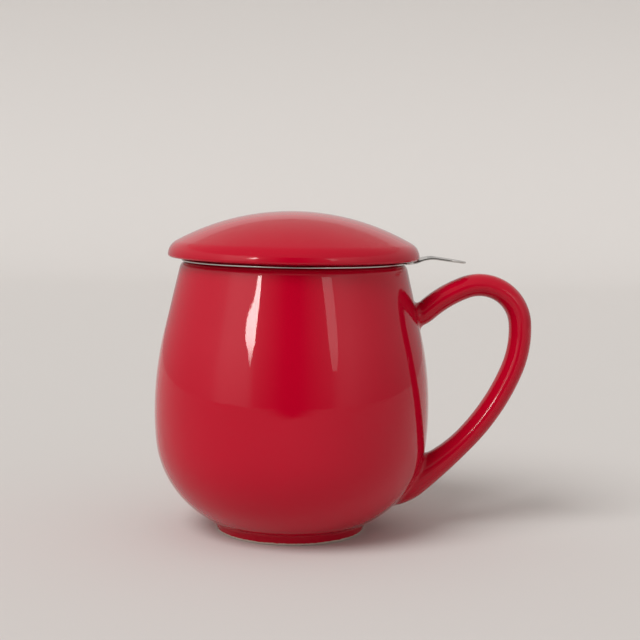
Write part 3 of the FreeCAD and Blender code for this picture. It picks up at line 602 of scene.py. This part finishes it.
def lidOutline():
    step = lidSet["step"]
    apex = lidHigh.z - lidSet["topGap"]
    edgeCentre = (lidSet["radius"] - lidSet["edgeArc"], seat + lidSet["edgeHeight"])
    fall = apex - edgeCentre[1]
    crownArc = (edgeCentre[0] ** 2 + fall ** 2 - lidSet["edgeArc"] ** 2) / (2 * (fall - lidSet["edgeArc"]))
    crownCentre = (0, apex - crownArc)
    edgeTop = alongRay(crownCentre, edgeCentre, crownArc)
    edgeSide = (lidSet["radius"], edgeCentre[1])
    brim = seat + lidSet["edgeGap"]
    noseCentre = (lidSet["radius"] - (edgeCentre[1] - brim), edgeCentre[1])
    brimStart = (lidSet["seatRadius"] + lidSet["brimRun"], brim)
    seatEdge = (lidSet["seatRadius"], seat)
    ringOuter = collarHigh.x - steelSet["collarSheet"] - lidSet["ringGap"]
    ringInner = ringOuter - lidSet["ringWidth"]
    ringLow = seat - lidSet["ringDepth"]
    ceilingArc = crownArc - lidSet["wall"]
    ceilingEdge = (ringInner, crownCentre[1] + math.sqrt(ceilingArc ** 2 - ringInner ** 2))
    return joinOutline([
        arcPoints(crownCentre, (0, apex), edgeTop, step),
        arcPoints(edgeCentre, edgeTop, edgeSide, step / 4),
        arcPoints(noseCentre, edgeSide, (noseCentre[0], brim), step / 12),
        straightPoints((noseCentre[0], brim), brimStart, step),
        straightPoints(brimStart, seatEdge, step),
        straightPoints(seatEdge, (ringOuter, seat), step),
        straightPoints((ringOuter, seat), (ringOuter, ringLow), step),
        straightPoints((ringOuter, ringLow), (ringInner, ringLow), step / 2),
        straightPoints((ringInner, ringLow), ceilingEdge, step),
        arcPoints(crownCentre, ceilingEdge, (0, apex - lidSet["wall"]), step * 1.5),
    ], [(brimStart, lidSet["brimRound"]), (seatEdge, lidSet["seatRound"]),
        ((ringOuter, seat), lidSet["rootRound"]), ((ringOuter, ringLow), lidSet["ringRound"]),
        ((ringInner, ringLow), lidSet["ringRound"]), (ceilingEdge, lidSet["ceilingRound"])])


lidGlaze = redGlaze("lidGlaze", seat - lidSet["ringDepth"] + lidSet["bareEdge"])
lidDome = turnedPiece("lidDome", lidOutline(), lidSet["stepsAround"], lidGlaze)
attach(lidDome, "cover")
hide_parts("lid")
print("lid turned")


# closed ring of sheet steel with softened edges
def sheetRing(name, inner, outer, low, high, reach=steelSet["edgeRound"]):
    corners = [(inner, low), (outer, low), (outer, high), (inner, high)]
    middle = between(corners[3], corners[0], 0.5)
    outline = joinOutline([
        straightPoints(start, end, steelSet["step"])
        for start, end in zip([middle] + corners, corners + [middle])], [(corner, reach) for corner in corners])
    return turnedPiece(name, outline, steelSet["stepsAround"], spunSteel)


def joinPieces(name, pieces):
    joined = bmesh.new()
    materials = []
    for piece in pieces:
        for material in piece.data.materials:
            if material not in materials:
                materials.append(material)
        start = len(joined.faces)
        joined.from_mesh(piece.data)
        joined.faces.ensure_lookup_table()
        for face in joined.faces[start:]:
            face.material_index = materials.index(piece.data.materials[face.material_index])
    mesh = bpy.data.meshes.new(name)
    joined.to_mesh(mesh)
    joined.free()
    for material in materials:
        mesh.materials.append(material)
    for piece in pieces:
        bpy.data.objects.remove(piece)
    whole = bpy.data.objects.new(name, mesh)
    scene.collection.objects.link(whole)
    return whole


def dressSteel(piece, body, node):
    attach(piece, body)
    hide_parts(node)


basketRadius = collarHigh.y
wallOuter = basketRadius - steelSet["collarSheet"]
flangeRadius = cupSet["mouthRadius"] - steelSet["flangeInset"]


# lifting tab: a strip of sheet that leaves the flange, arches up and dips to a round tip
tabSet = {
    "width": 0.0125, "flat": 0.0008, "bendArc": 0.008, "crestArc": 0.0107, "rise": 24.6, "fall": 7.5,
    "tipRun": 0.0100, "tipFlat": 0.12, "rootFillet": 0.0026, "overlap": 0.0006, "holeRadius": 0.0015,
    "holeStep": 0.0042, "holes": 3, "holeSides": 28, "punchLength": 0.02, "edgeBevel": 0.00012,
    "rootStep": 0.0003, "step": 0.0004, "pointsAcross": 17}


def tabStations():
    start = flangeRadius - tabSet["overlap"]
    count = round((tabSet["flat"] + tabSet["overlap"]) / tabSet["rootStep"])
    middle = seat - steelSet["rimSheet"] / 2
    stations = [((start + i * tabSet["rootStep"], middle), 0.0) for i in range(count + 1)]
    for radius, turn in ((tabSet["bendArc"], -tabSet["rise"]),
                         (tabSet["crestArc"], tabSet["rise"] + tabSet["fall"])):
        side = 1 if turn > 0 else -1
        point, angle = stations[-1]
        centre = stepAlong(point, angle - 90 * side, radius)
        count = math.ceil(math.radians(abs(turn)) * radius / tabSet["step"])
        for i in range(1, count + 1):
            heading = angle - turn * i / count
            stations.append((stepAlong(centre, heading + 90 * side, radius), heading))
    point, angle = stations[-1]
    count = math.ceil(tabSet["tipRun"] / tabSet["step"])
    stations += [(stepAlong(point, angle, tabSet["tipRun"] * i / count), angle) for i in range(1, count + 1)]
    return stations


def buildTab():
    stations = tabStations()
    half = tabSet["width"] / 2
    lengths = [0.0]
    for here, there in zip(stations, stations[1:]):
        lengths.append(lengths[-1] + math.dist(here[0], there[0]))
    total = lengths[-1]
    rings = []
    for (point, heading), run in zip(stations, lengths):
        left = max(0.0, total - run)
        wide = half if left > half else math.sqrt(max(0.0, half ** 2 - (half - left) ** 2))
        wide = max(wide, half * tabSet["tipFlat"])
        past = max(0.0, 1 - max(0.0, run - tabSet["overlap"]) / tabSet["rootFillet"])
        wide += tabSet["rootFillet"] * (1 - math.sqrt(1 - past ** 2))
        lift = math.radians(heading + 90)
        sheet = steelSet["rimSheet"] / 2
        top = (point[0] + sheet * math.cos(lift), point[1] + sheet * math.sin(lift))
        under = (point[0] - sheet * math.cos(lift), point[1] - sheet * math.sin(lift))
        shares = [-1 + 2 * i / (tabSet["pointsAcross"] - 1) for i in range(tabSet["pointsAcross"])]
        ring = [Vector((top[0], wide * share, top[1])) for share in shares]
        ring += [Vector((under[0], wide * share, under[1])) for share in shares[::-1]]
        rings.append(ring)
    return skinnedPiece("liftTab", rings, tabSteel)


# drives a round punch down through the given piece at every point
def punchAt(tree, given, points, sides):
    punch = addNode(tree, "GeometryNodeMeshCylinder", Vertices=sides, Radius=given["Hole Radius"],
                    Depth=given["Punch Length"])
    punches = addNode(tree, "GeometryNodeInstanceOnPoints", Points=points, Instance=punch.outputs[0])
    solid = addNode(tree, "GeometryNodeRealizeInstances", Geometry=punches.outputs[0])
    cut = addNode(tree, "GeometryNodeMeshBoolean", {"operation": "DIFFERENCE"})
    tree.links.new(given["Geometry"], cut.inputs["Mesh 1"])
    tree.links.new(solid.outputs[0], cut.inputs["Mesh 2"])
    endTree(tree, given, cut.outputs[0])


# holes in a row along X
def buildPunchTree():
    tree, given = startTree("punchRow", {
        "First Hole": "Vector", "Hole Step": "Vector", "Holes": "Int", "Hole Radius": "Float",
        "Punch Length": "Float", "Material": "Material"})
    row = addNode(tree, "GeometryNodeMeshLine", {"mode": "OFFSET"}, Count=given["Holes"],
                  Start_Location=given["First Hole"], Offset=given["Hole Step"])
    punchAt(tree, given, row.outputs[0], tabSet["holeSides"])
    return tree


def finishTab(tab):
    crestX = flangeRadius + tabSet["flat"] + (tabSet["bendArc"] + tabSet["crestArc"]) * math.sin(
        math.radians(tabSet["rise"]))
    applyTree(tab, buildPunchTree(), {
        "First Hole": (crestX, 0, seat), "Hole Step": (tabSet["holeStep"], 0, 0), "Holes": tabSet["holes"],
        "Hole Radius": tabSet["holeRadius"], "Punch Length": tabSet["punchLength"], "Material": tabSteel})
    bevel = tab.modifiers.new("softEdges", "BEVEL")
    bevel.width = tabSet["edgeBevel"]
    bevel.segments = 2
    bevel.limit_method = "ANGLE"
    bevel.angle_limit = math.radians(50)
    bakeModifiers(tab)
    tab.data.shade_smooth()
    tab.data.set_sharp_from_angle(angle=sharpAngle)


liftTab = buildTab()
finishTab(liftTab)
rimPlate = joinPieces("rimPlate", [
    sheetRing("flange", basketRadius, flangeRadius, seat - steelSet["rimSheet"], seat, steelSet["flangeRound"]),
    sheetRing("skirt", basketRadius, basketRadius + steelSet["rimSheet"], seat - steelSet["skirtDepth"],
              seat - steelSet["lapIn"]),
    liftTab])
dressSteel(rimPlate, "basket", "infuser_rim")
basketSleeve = sheetRing("basketSleeve", wallOuter, basketRadius, collarLow.z, seat)
dressSteel(basketSleeve, "basket", "infuser_collar")
print("steel rim, tab and sleeve made")


# basket wall: one punched tile, repeated round the basket in staggered rows
wallSet = {
    "columns": 60, "holeRadius": 0.00072, "holeSides": 12, "plainLow": 0.0062, "plainHigh": 0.0036,
    "lapAzimuth": 200, "lapWidth": 0.006}


# square of sheet with one round hole, flat, its outer face at height 0
def punchedTile(name, pitch, rise):
    sides = wallSet["holeSides"]
    sheet = steelSet["wallSheet"]
    turns = [(math.cos(math.tau * i / sides), math.sin(math.tau * i / sides)) for i in range(sides)]
    hole = [(x * wallSet["holeRadius"], y * wallSet["holeRadius"]) for x, y in turns]
    edge = []
    for x, y in turns:
        grow = 0.5 / max(abs(x), abs(y))
        edge.append((x * grow * pitch, y * grow * rise))
    points = [(x, y, depth) for depth in (0, -sheet) for x, y in hole + edge]
    faces = []
    for i in range(sides):
        j = (i + 1) % sides
        faces.append((i, sides + i, sides + j, j))
        faces.append((2 * sides + j, 3 * sides + j, 3 * sides + i, 2 * sides + i))
        faces.append((i, j, 2 * sides + j, 2 * sides + i))
    return newPiece(name, points, (), faces)


def buildWallTree():
    tree, given = startTree("rollPunchedSheet", {
        "Columns": "Int", "Rows": "Int", "Pitch": "Float", "Rise": "Float", "Low Edge": "Float",
        "Radius": "Float", "Material": "Material"})
    total = calc(tree, "MULTIPLY", given["Columns"], given["Rows"])
    places = addNode(tree, "GeometryNodeMeshLine", {"mode": "OFFSET"}, Count=total)
    row, column = rowAndColumn(tree, given["Columns"])
    shift = calc(tree, "MULTIPLY", calc(tree, "MODULO", row, 2.0), 0.5)
    spot = addNode(tree, "ShaderNodeCombineXYZ",
                   X=calc(tree, "MULTIPLY", calc(tree, "ADD", column, shift), given["Pitch"]),
                   Y=calc(tree, "MULTIPLY", calc(tree, "ADD", row, 0.5), given["Rise"]))
    spread = addNode(tree, "GeometryNodeSetPosition", Geometry=places.outputs[0], Position=spot.outputs[0])
    tiles = addNode(tree, "GeometryNodeInstanceOnPoints", Points=spread.outputs[0], Instance=given["Geometry"])
    real = addNode(tree, "GeometryNodeRealizeInstances", Geometry=tiles.outputs[0])
    position = addNode(tree, "GeometryNodeInputPosition").outputs[0]
    parts = addNode(tree, "ShaderNodeSeparateXYZ", Vector=position).outputs
    around = calc(tree, "MULTIPLY", given["Columns"], given["Pitch"])
    angle = calc(tree, "MULTIPLY", calc(tree, "DIVIDE", parts["X"], around), math.tau)
    reach = calc(tree, "ADD", given["Radius"], parts["Z"])
    place = addNode(tree, "ShaderNodeCombineXYZ", X=calc(tree, "MULTIPLY", reach, calc(tree, "COSINE", angle)),
                    Y=calc(tree, "MULTIPLY", reach, calc(tree, "SINE", angle)),
                    Z=calc(tree, "ADD", given["Low Edge"], parts["Y"]))
    rolled = addNode(tree, "GeometryNodeSetPosition", Geometry=real.outputs[0], Position=place.outputs[0])
    closed = addNode(tree, "GeometryNodeMergeByDistance", Geometry=rolled.outputs[0], Distance=0.000003)
    endTree(tree, given, closed.outputs[0])
    return tree


# the seam where the rolled sheet laps over itself
def lapStrip():
    half = math.degrees(wallSet["lapWidth"] / wallOuter) / 2
    inner, outer = wallOuter - steelSet["wallSheet"] / 2, wallOuter + steelSet["wallSheet"]
    low, high = hoopHigh.z, collarLow.z
    rings = []
    for i in range(13):
        turn = math.radians(wallSet["lapAzimuth"] - half + 2 * half * i / 12)
        rings.append([Vector((reach * math.cos(turn), reach * math.sin(turn), height))
                      for reach, height in ((inner, low), (outer, low), (outer, high), (inner, high))])
    piece = skinnedPiece("lapStrip", rings, spunSteel)
    piece.data.set_sharp_from_angle(angle=sharpAngle)
    return piece


def buildWall():
    low = wallLow.z + wallSet["plainLow"]
    high = collarLow.z - wallSet["plainHigh"]
    pitch = math.tau * wallOuter / wallSet["columns"]
    rows = round((high - low) / (pitch * math.sqrt(3) / 2))
    rise = (high - low) / rows
    mesh = punchedTile("punchedSheet", pitch, rise)
    applyTree(mesh, buildWallTree(), {
        "Columns": wallSet["columns"], "Rows": rows, "Pitch": pitch, "Rise": rise, "Low Edge": low,
        "Radius": wallOuter, "Material": spunSteel})
    mesh.data.shade_smooth()
    mesh.data.set_sharp_from_angle(angle=sharpAngle)
    inner = wallOuter - steelSet["wallSheet"]
    return joinPieces("basketWall", [
        mesh, lapStrip(), sheetRing("plainBandLow", inner, wallOuter, wallLow.z, low + steelSet["lapIn"]),
        sheetRing("plainBandHigh", inner, wallOuter, high - steelSet["lapIn"], wallHigh.z)])


dressSteel(buildWall(), "basket", "infuser_wall")
print("basket wall rolled")


# basket base: shallow dish with a punched field of holes
baseSet = {
    "holeRadius": 0.00085, "holeSides": 10, "holeStep": 0.0029, "fieldRadius": 0.0255, "bend": 0.0012,
    "punchLength": 0.004, "stepsAround": 120, "flatStep": 0.006, "edgeStep": 0.002}


def buildFieldTree():
    tree, given = startTree("punchField", {
        "Hole Step": "Float", "Hole Radius": "Float", "Field Radius": "Float", "Height": "Float",
        "Punch Length": "Float", "Material": "Material"})
    count = calc(tree, "ADD", calc(tree, "MULTIPLY", calc(tree, "CEIL", calc(
        tree, "DIVIDE", given["Field Radius"], given["Hole Step"])), 2.0), 3.0)
    grid = addNode(tree, "GeometryNodeMeshGrid", Vertices_X=count, Vertices_Y=count)
    row, column = rowAndColumn(tree, count)
    middle = calc(tree, "DIVIDE", calc(tree, "SUBTRACT", count, 1.0), 2.0)
    shift = calc(tree, "MULTIPLY", calc(tree, "MODULO", row, 2.0), 0.5)
    x = calc(tree, "MULTIPLY", calc(tree, "ADD", calc(tree, "SUBTRACT", column, middle), shift),
             given["Hole Step"])
    y = calc(tree, "MULTIPLY", calc(tree, "MULTIPLY", calc(tree, "SUBTRACT", row, middle), given["Hole Step"]),
             math.sqrt(3) / 2)
    spot = addNode(tree, "ShaderNodeCombineXYZ", X=x, Y=y, Z=given["Height"])
    spread = addNode(tree, "GeometryNodeSetPosition", Geometry=grid.outputs[0], Position=spot.outputs[0])
    position = addNode(tree, "GeometryNodeInputPosition").outputs[0]
    parts = addNode(tree, "ShaderNodeSeparateXYZ", Vector=position).outputs
    outside = calc(tree, "GREATER_THAN", distanceFromAxis(tree, parts), given["Field Radius"])
    field = addNode(tree, "GeometryNodeDeleteGeometry", Geometry=spread.outputs[0], Selection=outside)
    punchAt(tree, given, field.outputs[0], baseSet["holeSides"])
    return tree


def buildBase():
    outer = wallOuter - steelSet["wallSheet"]
    sheet = steelSet["wallSheet"]
    low, high = baseLow.z, baseHigh.z
    outline = joinOutline([
        straightPoints((0, low), (outer, low), baseSet["flatStep"]),
        straightPoints((outer, low), (outer, high), baseSet["edgeStep"]),
        straightPoints((outer, high), (outer - sheet, high), sheet),
        straightPoints((outer - sheet, high), (outer - sheet, low + sheet), baseSet["edgeStep"]),
        straightPoints((outer - sheet, low + sheet), (0, low + sheet), baseSet["flatStep"]),
    ], [((outer, low), baseSet["bend"]), ((outer - sheet, low + sheet), baseSet["bend"] - sheet)])
    piece = turnedPiece("basketBase", outline, baseSet["stepsAround"], spunSteel)
    applyTree(piece, buildFieldTree(), {
        "Hole Step": baseSet["holeStep"], "Hole Radius": baseSet["holeRadius"], "Height": low,
        "Field Radius": baseSet["fieldRadius"], "Punch Length": baseSet["punchLength"], "Material": spunSteel})
    piece.data.set_sharp_from_angle(angle=sharpAngle)
    return piece


dressSteel(buildBase(), "basket", "infuser_base")
hoopOuter = hoopHigh.y
basketHoop = joinPieces("basketHoop", [
    sheetRing("hoopBand", wallOuter, hoopOuter, hoopLow.z, hoopHigh.z),
    sheetRing("hoopLip", wallOuter - steelSet["hoopLip"], hoopOuter - steelSet["lapIn"], hoopLow.z,
              hoopLow.z + steelSet["hoopSheet"])])
dressSteel(basketHoop, "basket", "infuser_base_hoop")
print("basket base and hoop made")


# stage: pale floor that curves up into a backdrop
stageSet = {
    "colour": (0.66, 0.635, 0.615, 1), "roughness": 0.8, "width": 6.0, "front": -3.0, "back": 1.6,
    "bend": 0.5, "bendSteps": 24, "height": 2.6}


def buildStage():
    path = [(stageSet["front"], 0.0), (stageSet["back"] - stageSet["bend"], 0.0)]
    for i in range(1, stageSet["bendSteps"] + 1):
        turn = math.radians(90 * i / stageSet["bendSteps"])
        path.append((stageSet["back"] - stageSet["bend"] + stageSet["bend"] * math.sin(turn),
                     stageSet["bend"] * (1 - math.cos(turn))))
    path.append((stageSet["back"], stageSet["height"]))
    points = [(side * stageSet["width"] / 2, y, z) for y, z in path for side in (-1, 1)]
    faces = [(2 * i, 2 * i + 1, 2 * i + 3, 2 * i + 2) for i in range(len(path) - 1)]
    stage = newPiece("paleFloor", points, (), faces)
    material, tree, shader = startMaterial("palePaint")
    shader.inputs["Base Color"].default_value = stageSet["colour"]
    shader.inputs["Roughness"].default_value = stageSet["roughness"]
    shader.inputs["Specular IOR Level"].default_value = 0.0
    stage.data.materials.append(material)
    stage.data.shade_smooth()


buildStage()


# light: a pale room and one soft key from the front left; what the glaze mirrors is set by
# two tall narrow windows, a dark flag between them and plain pale screens round the table
lightSet = {
    "room": (1.0, 0.97, 0.94, 1), "roomStrength": 0.52,
    "keyStrength": 1.85, "keySoftness": 34, "keyHeight": 48, "keyAngle": -42,
    "cardColour": (1.0, 0.97, 0.94, 1), "screenDistance": 1.2, "screenHeight": 0.75, "screenFade": 0.58,
    "fadeHeight": 0.5, "brightest": 4.0,
    "screenTones": {
        0: 0.80, 60: 0.72, 85: 0.84, 110: 1.25, 125: 2.0, 140: 1.9, 150: 0.78, 160: 0.50, 170: 0.45, 180: 0.45,
        190: 0.45, 200: 0.42, 210: 0.54, 225: 1.20, 240: 1.00, 255: 0.78, 290: 0.68, 360: 0.80},
    "flagDistance": 0.42, "flagSide": 28, "flagSoft": 25, "flagLow": 0.0005, "flagRise": 0.018,
    "flagHigh": 0.31,
    "flagRound": 1.2, "flagFoot": 0.03}

# windows as rows of (height, from, to) in metres and degrees, and their brightness from low to high
leftWindow = {"distance": 1.0, "low": 3.0, "high": 30.0, "rows": [
    (0.245, -35.6, -34.8), (0.35, -38.5, -34.0), (0.388, -43.0, -32.8), (0.405, -42.3, -32.9),
    (0.435, -37.0, -32.1), (0.455, -35.8, -31.8), (0.50, -35.0, -31.9)]}
rightWindow = {"distance": 1.0, "low": 2.3, "high": 3.1, "rows": [
    (0.225, 33.5, 36.9), (0.29, 32.4, 38.5), (0.355, 32.2, 39.3), (0.40, 31.4, 39.8),
    (0.435, 30.1, 38.9), (0.472, 27.9, 36.6), (0.50, 27.5, 36.0)]}

world = bpy.data.worlds.new("paleRoom")
world.use_nodes = True
background = world.node_tree.nodes["Background"]
background.inputs["Color"].default_value = lightSet["room"]
background.inputs["Strength"].default_value = lightSet["roomStrength"]
scene.world = world


# a place round the mug; the angle is 0 in front and grows towards the handle
def around(angle, distance, height):
    return (distance * math.sin(math.radians(angle)), -distance * math.cos(math.radians(angle)), height)


# the same angle as seen by a card's material
def angleRound(tree, parts):
    turned = calc(tree, "ARCTAN2", parts["X"], calc(tree, "MULTIPLY", parts["Y"], -1.0))
    return calc(tree, "DIVIDE", calc(tree, "ADD", turned, math.pi), math.tau)


# a bent card of rows (height, from, to) that only mirror-like surfaces see
def addCard(name, rows, distance, material, steps):
    points = []
    for height, start, end in rows:
        points += [around(start + (end - start) * i / steps, distance, height) for i in range(steps + 1)]
    across = steps + 1
    faces = [(row * across + i, row * across + i + 1, (row + 1) * across + i + 1, (row + 1) * across + i)
             for row in range(len(rows) - 1) for i in range(steps)]
    piece = newPiece(name, points, (), faces)
    piece.data.materials.append(material)
    piece.visible_camera = False
    piece.visible_diffuse = False
    piece.visible_shadow = False


def startCardMaterial(name):
    material, tree, shader = startMaterial(name)
    place = addNode(tree, "ShaderNodeTexCoord").outputs["Object"]
    parts = addNode(tree, "ShaderNodeSeparateXYZ", Vector=place).outputs
    shader.inputs["Base Color"].default_value = (0, 0, 0, 1)
    shader.inputs["Specular IOR Level"].default_value = 0.0
    shader.inputs["Emission Color"].default_value = lightSet["cardColour"]
    return material, tree, shader, parts


def windowLight(name, window):
    material, tree, shader, parts = startCardMaterial(name)
    rows = window["rows"]
    strength = mapRange(tree, parts["Z"], rows[0][0], rows[3][0], window["low"], window["high"])
    feed(tree, shader.inputs["Emission Strength"], strength)
    addCard(name, rows, window["distance"], material, 2)


# dark cloth that thins out towards its sides and its lower edge
def darkCloth():
    material, tree, shader, parts = startCardMaterial("darkCloth")
    turn = calc(tree, "ABSOLUTE", calc(tree, "SUBTRACT", angleRound(tree, parts), 0.5))
    nearFloor = calc(tree, "MAXIMUM", calc(tree, "SUBTRACT", lightSet["flagFoot"], parts["Z"]), 0.0)
    turn = calc(tree, "ADD", turn, calc(tree, "MULTIPLY", nearFloor, lightSet["flagRound"]))
    side = lightSet["flagSide"] / 360
    low = lightSet["flagLow"]
    sides = mapRange(tree, turn, side - lightSet["flagSoft"] / 360, side, 1.0, 0.0, smooth=True)
    lower = mapRange(tree, parts["Z"], low, low + lightSet["flagRise"], smooth=True)
    feed(tree, shader.inputs["Alpha"], calc(tree, "MULTIPLY", sides, lower))
    return material


# pale cloth whose tone changes slowly round the table and grows with height
def paleCloth():
    material, tree, shader, parts = startCardMaterial("paleCloth")
    tones = addNode(tree, "ShaderNodeFloatCurve", Value=angleRound(tree, parts))
    curve = tones.mapping.curves[0]
    knots = lightSet["screenTones"]
    while len(curve.points) < len(knots):
        curve.points.new(0.5, 0.5)
    for point, (angle, tone) in zip(curve.points, knots.items()):
        point.location = (angle / 360, tone / lightSet["brightest"])
    tones.mapping.update()
    tone = calc(tree, "MULTIPLY", tones.outputs[0], lightSet["brightest"])
    lift = mapRange(tree, parts["Z"], 0.0, lightSet["fadeHeight"], lightSet["screenFade"], 1.0)
    feed(tree, shader.inputs["Emission Strength"], calc(tree, "MULTIPLY", tone, lift))
    return material


keyPlace = around(lightSet["keyAngle"], 1.0, math.tan(math.radians(lightSet["keyHeight"])))
keyData = bpy.data.lights.new("softKey", "SUN")
keyData.energy = lightSet["keyStrength"]
keyData.angle = math.radians(lightSet["keySoftness"])
key = bpy.data.objects.new("softKey", keyData)
scene.collection.objects.link(key)
key.rotation_euler = Vector(keyPlace).to_track_quat("Z", "Y").to_euler()
key.visible_glossy = False
windowLight("leftWindow", leftWindow)
windowLight("rightWindow", rightWindow)
addCard("darkFlag", [(lightSet["flagLow"], -lightSet["flagSide"], lightSet["flagSide"]),
                     (lightSet["flagHigh"], -lightSet["flagSide"], lightSet["flagSide"])],
        lightSet["flagDistance"], darkCloth(), 12)
addCard("paleScreen", [(0.0, -180, 180), (lightSet["screenHeight"], -180, 180)], lightSet["screenDistance"],
        paleCloth(), 72)
print("stage and light set")
